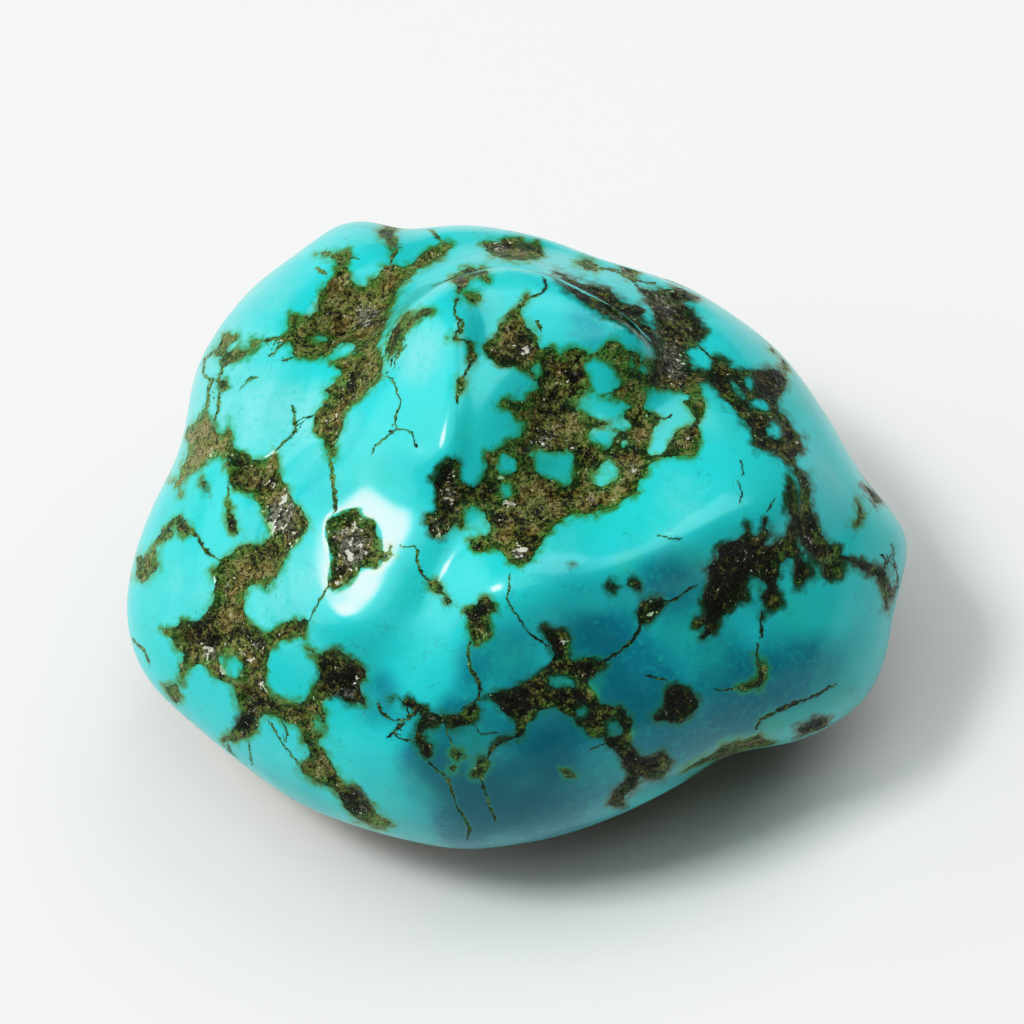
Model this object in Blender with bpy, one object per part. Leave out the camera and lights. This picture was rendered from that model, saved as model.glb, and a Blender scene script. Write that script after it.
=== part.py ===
"""A tumble-polished turquoise nugget: one natural stone, so one closed solid.

The stone is shaped square on to its broad polished face. In that face frame x runs along the
stone's length, y up the face and z out of it. It starts as a ball of even quads, which is pressed
to the outline and thickness of the real one. Its lumps are then pushed out and its hollows pushed
in, as natural growth and a tumbling barrel leave them. Last, the face is leaned back to the pose
in which the stone rests, and the underside is worn flat where it sits.

Everything is in metres. The origin is on the resting face, under the middle of the stone's box.
"""

import math

import bmesh
import bpy
from mathutils import Matrix, Vector

MM = 0.001

# Driving dimensions.
HALF_LENGTH = 20.0 * MM
HALF_HEIGHT = 16.0 * MM  # up the face
FACE_DEPTH = 12.8 * MM  # from the girdle to the front of the broad face
BACK_DEPTH = 12.8 * MM  # from the girdle to the back
GIRDLE_SLOPE = -0.22  # how far the girdle comes forward for each step up the face
FACE_ELEVATION = math.radians(60)  # the way the broad face looks, above the horizon
REST_WEAR = 1.9 * MM  # how much of the underside is worn away to the flat
REST_ROUND = 0.9 * MM  # half-height of the rounded edge between the flat and the sides
OUTLINE_FADE = 4  # how soon the outline's bays and points die out towards the middle
CELLS = 28  # quads along each side of the starting ball

# The outline of the stone square on to its face, anticlockwise from its right end.
OUTLINE_MM = (
    (20.0, -0.7), (19.5, 0.6), (18.5, 1.8), (17.4, 3.2), (15.7, 6.2), (13.2, 9.5), (9.3, 12.3),
    (6.8, 13.3), (4.2, 14.1), (1.2, 15.2), (-1.9, 15.8), (-3.9, 15.8), (-6.0, 15.6), (-7.2, 16.0),
    (-8.5, 16.1), (-9.8, 15.6), (-11.1, 14.6), (-13.6, 12.7), (-15.4, 10.5), (-16.6, 8.2),
    (-17.1, 5.4), (-17.6, 3.6), (-18.7, 1.3), (-19.6, -1.2), (-20.0, -3.8), (-19.6, -6.1),
    (-18.5, -8.0), (-15.9, -10.3), (-13.6, -12.1), (-11.1, -13.8), (-8.0, -15.0), (-4.9, -15.8),
    (-2.6, -16.1), (-0.4, -15.9), (2.2, -15.4), (5.3, -14.3), (8.3, -12.8), (10.9, -11.3),
    (13.9, -10.8), (16.0, -9.9), (17.8, -8.4), (18.8, -6.3), (19.1, -4.5), (19.5, -3.0),
)

# Lumps and hollows. Each follows a path of points as seen square on to the face, on the front or
# the back of the stone, spreads to its reach on both sides of the path, and moves the surface
# there by its push along x, y and z. All are in millimetres.
FRONT, BACK = 1, -1
RELIEF_MM = {
    "hump": (FRONT, [(-4.4, 7.2), (0.0, 8.2), (2.8, 6.8)], 7.2, (0.2, 0.6, 1.3)),
    "brow_of_hump": (
        FRONT,
        [(-4.6, 9.6), (-3.2, 10.6), (-1.2, 11.0), (0.9, 10.4), (3.4, 8.9), (4.4, 8.1)],
        3.2,
        (0.4, 1.7, 1.2),
    ),
    "valley_behind_hump": (
        FRONT,
        [(-8.8, 10.8), (-6.6, 13.2), (-3.0, 14.6), (1.0, 14.4), (4.6, 13.0), (8.0, 10.8), (8.6, 8.0)],
        2.8,
        (0, 0, -1.1),
    ),
    "left_valley": (FRONT, [(-8.6, 11.0), (-9.2, 8.0), (-10.4, 5.5), (-10.6, 2.6)], 3.6, (0, 0, -1.1)),
    "middle_ridge": (
        FRONT,
        [(-3.0, 7.6), (-3.2, 4.6), (-6.0, 2.0), (-8.6, -0.6), (-8.8, -3.6)],
        4.6,
        (0, 0, 1.2),
    ),
    "bowl": (FRONT, [(3.2, 5.4), (6.8, 4.8), (3.8, 2.6)], 4.6, (0, 0, -1.5)),
    "crest": (FRONT, [(-1.0, -2.8), (2.0, -2.2), (6.4, -0.8), (10.4, 1.0), (14.0, 2.2)], 3.2, (0, 0, 1.0)),
    "knuckle": (FRONT, [(8.0, 0.0), (11.2, 1.8)], 6.0, (0, 0, 1.2)),
    "shoulder_notch": (FRONT, [(-17.6, 4.4), (-14.6, 4.2), (-12.6, 2.0), (-13.6, -2.8)], 2.6, (0, 0, -0.5)),
    "under_lip": (FRONT, [(6.8, -12.8), (11.4, -11.4), (15.6, -10.2)], 2.0, (0, 0, -1.0)),
    "rear_hollow": (BACK, [(-10.0, 10.0), (-2.0, 12.0), (5.0, 11.0)], 6.0, (0, -0.6, 1.4)),
    "rear_ridge": (BACK, [(-14.0, 3.0), (-6.0, 5.0), (4.0, 5.5), (11.0, 7.0)], 5.0, (0, 0.8, -0.6)),
    "right_end_hollow": (BACK, [(16.0, 2.5), (14.0, -1.0), (14.0, -5.5)], 6.0, (-0.5, 0, 1.0)),
    "left_end_hollow": (BACK, [(-17.0, 1.0), (-14.0, -6.0)], 6.0, (0.5, 0, 0.9)),
}

TURQUOISE_BLUE = (0.03, 0.53, 0.52, 1)
POLISH_ROUGHNESS = 0.22


def clear_scene():
    for thing in list(bpy.data.objects):
        bpy.data.objects.remove(thing)


def ball_of_quads(cells):
    """A unit ball whose surface is six even grids of quads, from a cube."""
    ball = bmesh.new()
    bmesh.ops.create_cube(ball, size=2.0)
    bmesh.ops.subdivide_edges(ball, edges=ball.edges[:], cuts=cells - 1, use_grid_fill=True)
    for vertex in ball.verts:
        # The tangent spreads the rows evenly over the ball.
        even = Vector(math.tan(c * math.pi / 4) for c in vertex.co)
        vertex.co = even.normalized()
    return ball


def smooth_closed_curve(points, steps=6):
    """Points along a smooth closed curve through the given ones (a Catmull-Rom spline)."""
    curve = []
    count = len(points)
    for i in range(count):
        before, start, end, after = (Vector(points[(i + k) % count]) for k in (-1, 0, 1, 2))
        slope = end - before
        bend = 2 * before - 5 * start + 4 * end - after
        twist = 3 * start - before - 3 * end + after
        for step in range(steps):
            t = step / steps
            curve.append(start + (slope * t + bend * t**2 + twist * t**3) / 2)
    return curve


def outline_radius():
    """A function that gives the outline's radius, in metres, for an angle round the face."""
    polar = sorted((math.atan2(p.y, p.x) % math.tau, p.length * MM) for p in smooth_closed_curve(OUTLINE_MM))
    first, last = polar[0], polar[-1]
    polar = [(last[0] - math.tau, last[1])] + polar + [(first[0] + math.tau, first[1])]

    def radius(angle):
        angle %= math.tau
        after = next(i for i, (a, _) in enumerate(polar) if a > angle)
        (a0, r0), (a1, r1) = polar[after - 1], polar[after]
        return r0 + (r1 - r0) * (angle - a0) / (a1 - a0)

    return radius


def oval_radius(angle):
    """The radius of a plain oval as long and as tall as the stone's outline."""
    return 1 / math.hypot(math.cos(angle) / HALF_LENGTH, math.sin(angle) / HALF_HEIGHT)


def press_to_outline(ball, radius_at):
    """Gives the ball the stone's thickness, and its outline, which fades to an oval inwards."""
    for vertex in ball.verts:
        x, y, z = vertex.co
        angle = math.atan2(y, x)
        share = math.hypot(x, y) ** OUTLINE_FADE
        radius = oval_radius(angle) + (radius_at(angle) - oval_radius(angle)) * share
        depth = FACE_DEPTH if z > 0 else BACK_DEPTH
        vertex.co = Vector((x * radius, y * radius, z * depth + y * radius * GIRDLE_SLOPE))


def on_stone(point_mm, side, radius_at):
    """Where a point seen square on to the face, in millimetres, lies on the pressed ball."""
    x, y = (c * MM for c in point_mm)
    share = min(math.hypot(x, y) / radius_at(math.atan2(y, x)), 1.0)
    depth = FACE_DEPTH if side == FRONT else -BACK_DEPTH
    return Vector((x, y, depth * math.sqrt(1 - share**2) + y * GIRDLE_SLOPE))


def distance_to_path(point, path):
    """How far a point is from the line through the path's points."""
    nearest = math.inf
    for start, end in zip(path, path[1:]):
        along = end - start
        share = min(max((point - start).dot(along) / along.length_squared, 0.0), 1.0)
        nearest = min(nearest, (point - start - along * share).length)
    return nearest


def push_relief(stone, radius_at):
    """Pushes the surface out into the lumps and in at the hollows."""
    unpushed = [(vertex, vertex.co.copy()) for vertex in stone.verts]
    for side, points, reach_mm, push_mm in RELIEF_MM.values():
        path = [on_stone(p, side, radius_at) for p in points]
        reach = reach_mm * MM
        push = Vector(push_mm) * MM
        for vertex, place in unpushed:
            share = distance_to_path(place, path) / reach
            if share < 1:
                vertex.co += push * (1 - share**2) ** 2


def lean_to_resting_pose(stone):
    """Leans the face back, from upright to the elevation at which the stone rests."""
    lean = Matrix.Rotation(math.pi / 2 - FACE_ELEVATION, 3, "X")
    bmesh.ops.rotate(stone, verts=stone.verts, cent=(0, 0, 0), matrix=lean)


def wear_underside(stone):
    """Wears the lowest part to a flat at height 0, and rounds its edge into the sides."""
    lowest = min(vertex.co.z for vertex in stone.verts)
    for vertex in stone.verts:
        height = vertex.co.z - lowest - REST_WEAR
        if height <= -REST_ROUND:
            height = 0.0
        elif height < REST_ROUND:
            height = (height + REST_ROUND) ** 2 / (4 * REST_ROUND)
        vertex.co.z = height


def centre_over_origin(stone):
    for axis in (0, 1):
        places = [vertex.co[axis] for vertex in stone.verts]
        middle = (min(places) + max(places)) / 2
        for vertex in stone.verts:
            vertex.co[axis] -= middle


def polished_turquoise():
    material = bpy.data.materials.new("polished_turquoise")
    material.use_nodes = True
    shader = material.node_tree.nodes["Principled BSDF"]
    shader.inputs["Base Color"].default_value = TURQUOISE_BLUE
    shader.inputs["Roughness"].default_value = POLISH_ROUGHNESS
    shader.inputs["Metallic"].default_value = 0.0
    return material


def make_nugget():
    radius_at = outline_radius()
    stone = ball_of_quads(CELLS)
    press_to_outline(stone, radius_at)
    push_relief(stone, radius_at)
    lean_to_resting_pose(stone)
    wear_underside(stone)
    centre_over_origin(stone)
    mesh = bpy.data.meshes.new("turquoise_nugget")
    stone.to_mesh(mesh)
    stone.free()
    mesh.shade_smooth()
    mesh.materials.append(polished_turquoise())
    nugget = bpy.data.objects.new("turquoise_nugget", mesh)
    bpy.context.scene.collection.objects.link(nugget)


clear_scene()
make_nugget()
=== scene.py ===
import math

import bmesh
import bpy
import numpy as np
from mathutils import Matrix, Vector, noise


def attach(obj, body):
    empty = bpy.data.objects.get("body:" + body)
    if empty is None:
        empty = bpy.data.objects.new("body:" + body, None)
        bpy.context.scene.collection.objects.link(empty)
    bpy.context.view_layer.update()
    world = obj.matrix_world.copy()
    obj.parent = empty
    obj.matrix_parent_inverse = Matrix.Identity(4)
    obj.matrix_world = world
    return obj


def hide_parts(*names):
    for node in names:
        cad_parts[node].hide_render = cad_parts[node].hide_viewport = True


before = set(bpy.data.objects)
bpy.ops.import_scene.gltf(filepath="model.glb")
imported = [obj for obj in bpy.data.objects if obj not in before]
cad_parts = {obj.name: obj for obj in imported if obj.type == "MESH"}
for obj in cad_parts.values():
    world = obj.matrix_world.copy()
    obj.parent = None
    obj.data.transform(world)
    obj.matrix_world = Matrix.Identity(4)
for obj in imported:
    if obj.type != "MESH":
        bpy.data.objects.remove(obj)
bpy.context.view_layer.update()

MM = 0.001


# ---------------------------------------------------------------- the way the stone is looked at
# The broad polished face looks up at sixty degrees, and the camera looks square on to it through
# a long lens, from a hand's breadth or two away. The face's right, up and outward directions are
# used again below, because lumps and markings are laid out square on to the face.
FACE_ELEVATION = math.radians(60)
FACE_RIGHT = Vector((1, 0, 0))
FACE_UP = Vector((0, math.sin(FACE_ELEVATION), math.cos(FACE_ELEVATION)))
FACE_OUT = Vector((0, -math.cos(FACE_ELEVATION), math.sin(FACE_ELEVATION)))
IMAGE_SIDE = 1024
PIXEL = 0.0512 * MM  # one pixel's width at the stone
CAMERA_DISTANCE = 300 * MM
SENSOR = 36.0
STONE_MIDDLE_PIXEL = (517.5, 531.0)

stone_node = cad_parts["turquoise_nugget"]
corners = [vertex.co for vertex in stone_node.data.vertices]
face_middle = Vector()
for direction in (FACE_RIGHT, FACE_UP, FACE_OUT):
    reaches = [corner.dot(direction) for corner in corners]
    face_middle += direction * (min(reaches) + max(reaches)) / 2

camera = bpy.data.cameras.new("camera")
camera.sensor_width = SENSOR
camera.lens = SENSOR * CAMERA_DISTANCE / (IMAGE_SIDE * PIXEL)
camera.clip_start = 10 * MM
camera_object = bpy.data.objects.new("camera", camera)
aim = (
    face_middle
    + FACE_RIGHT * (IMAGE_SIDE / 2 - STONE_MIDDLE_PIXEL[0]) * PIXEL
    + FACE_UP * (STONE_MIDDLE_PIXEL[1] - IMAGE_SIDE / 2) * PIXEL
)
camera_place = aim + FACE_OUT * CAMERA_DISTANCE
camera_object.matrix_world = Matrix.Translation(camera_place) @ Matrix(
    (FACE_RIGHT, FACE_UP, FACE_OUT)
).transposed().to_4x4()
bpy.context.scene.collection.objects.link(camera_object)
bpy.context.scene.camera = camera_object


# ---------------------------------------------------------------- the stone
# One nugget of turquoise, tumbled until it is smooth all round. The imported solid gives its
# shape: its facets are merged back into quads and smoothed.
SMOOTHING_LEVELS = 2
shape = bmesh.new()
shape.from_mesh(stone_node.data)
bmesh.ops.remove_doubles(shape, verts=shape.verts[:], dist=1e-6)
bmesh.ops.join_triangles(
    shape,
    faces=shape.faces[:],
    angle_face_threshold=math.radians(60),
    angle_shape_threshold=math.radians(60),
)
cage = bpy.data.meshes.new("nugget_cage")
shape.to_mesh(cage)
shape.free()
nugget = bpy.data.objects.new("polished_nugget", cage)
bpy.context.scene.collection.objects.link(nugget)
smoothing = nugget.modifiers.new("smoothing", "SUBSURF")
smoothing.levels = smoothing.render_levels = SMOOTHING_LEVELS
bpy.context.view_layer.update()
polished = bpy.data.meshes.new_from_object(nugget.evaluated_get(bpy.context.evaluated_depsgraph_get()))
nugget.modifiers.clear()
nugget.data = polished
polished.shade_smooth()
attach(nugget, "root")
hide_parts("turquoise_nugget")


# ---------------------------------------------------------------- the host rock in the stone
# Turquoise fills the cracks of a brown rock, so the rock is left between its lumps as patches,
# webs and hair-thin veins. The polisher cannot reach into it: the rock lies a little lower, and
# is rough and pitted. Each patch has a tone (0 near black, 1 ochre), a depth in millimetres and
# an outline in pixels of the camera's picture.
PATCHES = [
    # behind the hump, and down its left side
    (0.62, 0.22, [
        (290, 313), (300, 317), (311, 315), (319, 312), (317, 303), (321, 292), (329, 285), (333, 277),
        (337, 268), (336, 259), (327, 257), (317, 255), (328, 252), (338, 254), (349, 249), (352, 254),
        (347, 266), (351, 279), (357, 288), (366, 287), (371, 279), (378, 275), (384, 266), (395, 265),
        (405, 268), (413, 263), (421, 255), (431, 248), (444, 243), (454, 244), (442, 257), (421, 267),
        (405, 281), (396, 292), (391, 307), (386, 322), (381, 336), (377, 348), (382, 358), (382, 376),
        (372, 387), (361, 398), (347, 409), (343, 424), (338, 440), (334, 455), (329, 456), (323, 441),
        (314, 430), (314, 416), (324, 405), (333, 396), (323, 389), (336, 383), (342, 373), (333, 364),
        (322, 358), (306, 358), (291, 354), (296, 349), (291, 342), (280, 341), (288, 331), (291, 322),
    ]),
    (0.7, 0.05, [
        (222, 334), (238, 335), (236, 341), (228, 344), (228, 352), (240, 350), (250, 349), (251, 338),
        (262, 341), (254, 350), (246, 357), (232, 363), (224, 366), (220, 356), (212, 354), (219, 346),
    ]),
    (0.6, 0.05, [(215, 380), (220, 377), (225, 379), (228, 387), (224, 391), (220, 388)]),
    (0.45, 0.08, [
        (378, 231), (384, 227), (392, 225), (400, 225), (396, 229), (394, 234), (396, 240), (398, 248),
        (393, 250), (389, 245), (386, 239), (381, 237),
    ]),
    (0.55, 0.03, [
        (401, 315), (408, 311), (414, 314), (421, 309), (434, 309), (433, 316), (424, 316), (415, 321),
        (408, 330), (402, 340), (398, 350), (391, 356), (386, 350), (390, 335), (397, 322),
    ]),
    # on the hump: the question mark, its dots, and the triangle below it
    (0.5, 0.06, [
        (451, 279), (457, 273), (464, 268), (471, 266), (476, 269), (483, 267), (487, 272), (489, 281),
        (485, 282), (482, 277), (476, 276), (470, 279), (466, 285), (461, 293), (459, 301), (457, 294),
        (458, 285), (452, 283),
    ]),
    (0.45, 0.05, [(464, 297), (472, 294), (481, 295), (480, 300), (471, 302)]),
    (0.5, 0.05, [(447, 336), (453, 334), (459, 337), (457, 341), (450, 340)]),
    (0.4, 0.08, [
        (467, 341), (473, 344), (474, 352), (476, 358), (470, 365), (466, 360), (469, 352),
    ]),
    (0.5, 0.05, [(457, 378), (463, 379), (463, 391), (459, 393), (457, 387)]),
    (0.42, 0.14, [
        (528, 292), (522, 300), (516, 308), (511, 314), (505, 320), (501, 326), (498, 332), (492, 339),
        (486, 342), (484, 350), (489, 358), (497, 363), (503, 366), (512, 366), (524, 370), (532, 372),
        (540, 362), (542, 352), (538, 345), (535, 337), (530, 330), (525, 322), (520, 318), (522, 308),
        (529, 298),
    ]),
    # behind the hump's top, over to the right-hand shoulder
    (0.5, 0.12, [
        (483, 243), (500, 240), (515, 237), (530, 243), (538, 240), (543, 250), (545, 253), (540, 257),
        (520, 261), (500, 257), (490, 254),
    ]),
    (0.6, 0.03, [(575, 262), (590, 260), (598, 266), (596, 271), (585, 269)]),
    (0.4, 0.08, [
        (619, 266), (628, 264), (634, 262), (640, 265), (641, 272), (636, 277), (628, 278), (622, 272),
    ]),
    (0.22, 0.1, [
        (562, 276), (568, 282), (577, 286), (585, 284), (600, 286), (608, 288), (614, 292), (617, 298),
        (622, 303), (630, 306), (640, 306), (644, 310), (640, 318), (636, 321), (630, 318), (620, 314),
        (610, 308), (600, 303), (590, 297), (580, 290), (570, 284),
    ]),
    (0.3, 0.18, [
        (640, 290), (655, 291), (661, 289), (672, 289), (678, 286), (690, 293), (708, 296), (700, 299),
        (690, 300), (682, 303), (690, 308), (695, 314), (699, 320), (703, 328), (706, 333), (702, 340),
        (695, 344), (688, 346), (686, 352), (687, 360), (695, 372), (698, 384), (693, 392), (680, 390),
        (666, 388), (652, 380), (648, 372), (652, 366), (656, 362), (658, 352), (659, 340), (658, 330),
        (655, 318), (652, 308), (648, 300),
    ]),
    # the great patch in the middle of the face, and the dark pit at its left end
    (0.5, 0.16, [
        (530, 372), (534, 366), (545, 350), (556, 350), (560, 357), (564, 352), (570, 349), (577, 348),
        (583, 351), (590, 354), (598, 353), (603, 347), (606, 341), (611, 338), (616, 342), (622, 348),
        (630, 351), (637, 354), (643, 359), (650, 361), (655, 359), (660, 372), (680, 378), (692, 383),
        (697, 384), (701, 392), (704, 402), (702, 412), (698, 418), (695, 425), (697, 433), (700, 440),
        (702, 450), (700, 456), (695, 459), (690, 457), (680, 459), (670, 461), (660, 463), (652, 467),
        (648, 473), (645, 480), (640, 486), (637, 493), (632, 498), (625, 499), (620, 503), (612, 507),
        (602, 510), (595, 515), (588, 515), (575, 513), (565, 519), (555, 526), (547, 532), (543, 540),
        (538, 548), (532, 560), (520, 565), (512, 562), (505, 556), (500, 550), (492, 548), (485, 550),
        (478, 552), (472, 547), (470, 540), (465, 538), (460, 528), (464, 512), (474, 498), (484, 486),
        (486, 470), (486, 455), (490, 453), (496, 454), (499, 448), (505, 447), (507, 441), (512, 439),
        (520, 437), (526, 430), (527, 420), (517, 418), (512, 412), (507, 408), (498, 405), (503, 400),
        (510, 399), (522, 401), (530, 403), (527, 394), (534, 391), (541, 388), (534, 380),
    ]),
    (0.3, 0.32, [
        (458, 458), (450, 461), (444, 465), (440, 470), (437, 477), (433, 480), (437, 487), (437, 500),
        (437, 513), (432, 517), (426, 515), (427, 522), (430, 530), (435, 536), (442, 538), (447, 534),
        (450, 528), (455, 522), (460, 515), (464, 507), (469, 503), (476, 503), (484, 508), (492, 512),
        (500, 500), (490, 484), (484, 477), (480, 483), (472, 487), (465, 485), (460, 480), (459, 465),
    ]),
    # the bright shoulder at the far left, and the long band below it
    (0.85, 0.05, [
        (207, 410), (208, 418), (211, 424), (215, 427), (217, 433), (222, 436), (226, 432), (229, 420),
        (232, 436), (233, 445), (236, 452), (228, 468), (225, 458), (219, 455), (212, 456), (207, 461),
        (204, 466), (198, 470), (190, 474), (183, 480), (182, 490), (181, 497), (178, 490), (174, 484),
        (168, 480), (173, 478), (178, 478), (180, 472), (186, 460), (189, 446), (184, 436), (180, 432),
        (186, 430), (192, 425), (200, 420), (205, 412),
    ]),
    (0.55, 0.3, [
        (233, 445), (238, 450), (246, 454), (252, 459), (262, 460), (270, 456), (274, 449), (278, 453),
        (279, 472), (282, 480), (287, 487), (292, 496), (297, 504), (303, 510), (308, 517), (308, 525),
        (303, 530), (300, 538), (296, 543), (290, 550), (286, 558), (282, 565), (279, 572), (277, 580),
        (273, 584), (270, 579), (266, 590), (262, 588), (261, 581), (256, 583), (250, 586), (245, 592),
        (244, 600), (245, 610), (248, 620), (253, 627), (260, 632), (265, 635), (272, 632), (280, 628),
        (285, 622), (290, 620), (297, 622), (303, 619), (309, 620), (309, 627), (306, 634), (309, 645),
        (316, 655), (310, 654), (306, 648), (304, 640), (296, 637), (288, 638), (282, 640), (275, 644),
        (270, 650), (268, 660), (266, 680), (268, 690), (272, 697), (285, 702), (300, 703), (308, 700),
        (315, 690), (320, 700), (325, 712), (326, 725), (322, 737), (316, 745), (322, 749), (328, 757),
        (335, 770), (342, 780), (347, 786), (353, 784), (357, 788), (363, 795), (370, 803), (376, 811),
        (383, 818), (389, 822), (392, 825), (385, 828), (375, 827), (365, 822), (357, 820), (352, 815),
        (345, 808), (341, 800), (336, 790), (328, 785), (318, 783), (311, 780), (305, 775), (300, 768),
        (303, 765), (308, 760), (309, 752), (306, 745), (303, 738), (302, 730), (299, 725), (294, 723),
        (288, 724), (283, 720), (275, 716), (268, 715), (262, 717), (258, 720), (257, 728), (253, 735),
        (247, 738), (241, 738), (236, 742), (230, 742), (223, 743), (222, 739), (226, 736), (229, 734),
        (233, 730), (236, 724), (240, 718), (243, 712), (243, 707), (238, 705), (237, 700), (236, 690),
        (232, 682), (222, 682), (218, 679), (210, 672), (204, 663), (197, 665), (190, 667), (186, 670),
        (184, 680), (182, 688), (180, 678), (180, 668), (184, 662), (183, 655), (178, 648), (173, 640),
        (168, 635), (161, 633), (163, 630), (172, 629), (179, 625), (182, 620), (197, 621), (203, 618),
        (207, 612), (212, 606), (215, 598), (214, 590), (215, 580), (210, 573), (216, 567), (220, 560),
        (225, 558), (232, 555), (237, 548), (245, 545), (255, 546), (262, 545), (266, 540), (274, 540),
        (270, 530), (266, 520), (263, 512), (259, 505), (257, 497), (252, 492), (243, 491), (235, 489),
        (230, 483), (228, 475), (228, 463),
    ]),
    (0.5, 0.06, [(226, 502), (231, 503), (232, 512), (236, 524), (235, 535), (230, 533), (227, 518)]),
    (0.35, 0.12, [(202, 479), (206, 483), (206, 492), (203, 492)]),
    (0.5, 0.06, [(174, 521), (180, 517), (187, 525), (188, 533), (182, 536), (177, 530)]),
    (0.5, 0.06, [(163, 530), (171, 525), (171, 534), (165, 541), (158, 545)]),
    (0.62, 0.06, [
        (135, 555), (145, 556), (151, 553), (153, 547), (157, 549), (156, 558), (158, 568), (152, 574),
        (147, 580), (142, 583), (138, 578), (132, 577), (138, 572), (138, 562),
    ]),
    (0.6, 0.05, [
        (163, 684), (170, 686), (176, 684), (179, 690), (180, 698), (176, 704), (172, 698), (167, 692),
    ]),
    # the two pits with crystals in them, and the tiny one beside the first
    (0.5, 0.4, [
        (327, 530), (328, 520), (335, 515), (343, 513), (350, 511), (356, 508), (359, 515), (362, 520),
        (368, 520), (372, 518), (375, 525), (377, 532), (379, 545), (379, 560), (378, 568), (373, 570),
        (370, 566), (362, 566), (357, 570), (353, 578), (345, 584), (338, 588), (333, 590), (328, 585),
        (331, 575), (332, 560), (330, 545),
    ]),
    (0.7, 0.15, [(382, 557), (386, 551), (392, 545), (395, 549), (391, 556), (385, 562)]),
    (0.35, 0.32, [
        (308, 700), (314, 692), (319, 680), (319, 668), (318, 658), (316, 656), (322, 656), (328, 651),
        (336, 648), (341, 652), (353, 660), (361, 664), (365, 670), (366, 678), (360, 683), (361, 690),
        (364, 698), (366, 705), (355, 704), (344, 700), (335, 695), (328, 698), (320, 703), (312, 712),
    ]),
    # the lower middle: the star, the web under it and the black patch with its tails
    (0.45, 0.05, [(428, 581), (434, 581), (440, 584), (442, 590), (437, 593), (430, 587)]),
    (0.35, 0.08, [(445, 597), (450, 597), (451, 602), (447, 606), (444, 602)]),
    (0.42, 0.1, [
        (463, 611), (470, 607), (476, 606), (481, 599), (488, 598), (493, 602), (498, 608), (497, 612),
        (490, 613), (488, 618), (491, 625), (491, 633), (487, 638), (482, 640), (478, 645), (474, 645),
        (472, 638), (470, 630), (470, 620), (467, 613),
    ]),
    (0.2, 0.05, [(385, 702), (387, 696), (393, 698), (390, 702)]),
    (0.25, 0.12, [
        (404, 700), (410, 697), (418, 703), (425, 707), (432, 712), (438, 715), (447, 716), (455, 716),
        (462, 714), (468, 707), (475, 703), (478, 705), (480, 712), (475, 718), (468, 722), (460, 726),
        (452, 727), (445, 724), (437, 725), (430, 727), (425, 730), (421, 733), (425, 740), (430, 747),
        (432, 752), (428, 757), (423, 752), (418, 745), (415, 738), (417, 730), (418, 722), (423, 718),
        (425, 713), (418, 712), (412, 709), (407, 706),
    ]),
    (0.4, 0.03, [(453, 750), (459, 750), (463, 756), (457, 760), (453, 757)]),
    (0.4, 0.03, [(450, 766), (455, 766), (455, 771), (450, 771)]),
    (0.35, 0.06, [
        (478, 760), (485, 758), (489, 762), (487, 768), (484, 772), (482, 778), (478, 778), (474, 776),
        (470, 776), (474, 770), (480, 766),
    ]),
    (0.22, 0.13, [
        (540, 625), (548, 627), (555, 630), (563, 632), (569, 634), (571, 640), (569, 648), (567, 655),
        (568, 660), (575, 662), (582, 660), (590, 658), (600, 660), (606, 664), (600, 668), (592, 675),
        (587, 680), (590, 688), (594, 694), (600, 702), (612, 706), (620, 706), (625, 710), (628, 716),
        (632, 722), (632, 728), (630, 735), (629, 742), (632, 748), (637, 753), (642, 758), (648, 757),
        (655, 755), (662, 752), (668, 755), (671, 762), (668, 770), (662, 777), (655, 779), (648, 778),
        (641, 777), (638, 783), (633, 788), (626, 795), (622, 800), (624, 806), (618, 806), (610, 805),
        (609, 799), (613, 792), (620, 787), (626, 780), (627, 773), (624, 765), (622, 758), (618, 753),
        (613, 749), (607, 747), (604, 742), (602, 738), (596, 737), (590, 735), (585, 730), (578, 724),
        (573, 718), (566, 714), (560, 712), (556, 707), (550, 706), (545, 710), (538, 714), (533, 718),
        (528, 722), (524, 727), (524, 736), (518, 739), (514, 738), (506, 741), (498, 742), (493, 745),
        (490, 750), (492, 742), (504, 738), (514, 735), (518, 730), (515, 720), (508, 717), (503, 712),
        (499, 703), (492, 698), (483, 696), (492, 693), (505, 692), (515, 688), (524, 684), (530, 680),
        (535, 677), (539, 673), (545, 668), (551, 662), (553, 655), (552, 645), (546, 637),
    ]),
    (0.35, 0.04, [(562, 768), (568, 770), (573, 777), (566, 776)]),
    # the lower right: the small pit on the ridge's foot, the black patch and the lip under it
    (0.25, 0.3, [
        (651, 599), (655, 598), (663, 599), (664, 605), (660, 610), (655, 615), (650, 621), (645, 624),
        (640, 624), (638, 618), (640, 610), (640, 605), (645, 601),
    ]),
    (0.15, 0.12, [
        (670, 685), (676, 684), (682, 687), (690, 690), (696, 697), (700, 705), (695, 711), (690, 715),
        (685, 720), (678, 722), (670, 722), (662, 719), (653, 720), (652, 717), (660, 713), (665, 710),
        (664, 700), (664, 695), (667, 689),
    ]),
    (0.12, 0.22, [
        (717, 548), (722, 546), (728, 544), (734, 541), (740, 540), (743, 537), (747, 534), (748, 522),
        (752, 534), (757, 539), (762, 530), (765, 520), (768, 530), (765, 545), (770, 545), (778, 541),
        (783, 539), (788, 535), (789, 528), (793, 520), (797, 530), (796, 540), (797, 548), (800, 555),
        (803, 560), (806, 562), (808, 567), (810, 573), (808, 577), (803, 580), (801, 585), (800, 590),
        (796, 590), (795, 585), (796, 577), (795, 570), (795, 562), (793, 558), (785, 558), (781, 562),
        (779, 568), (779, 575), (776, 580), (777, 588), (779, 594), (780, 600), (780, 607), (777, 610),
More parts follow.
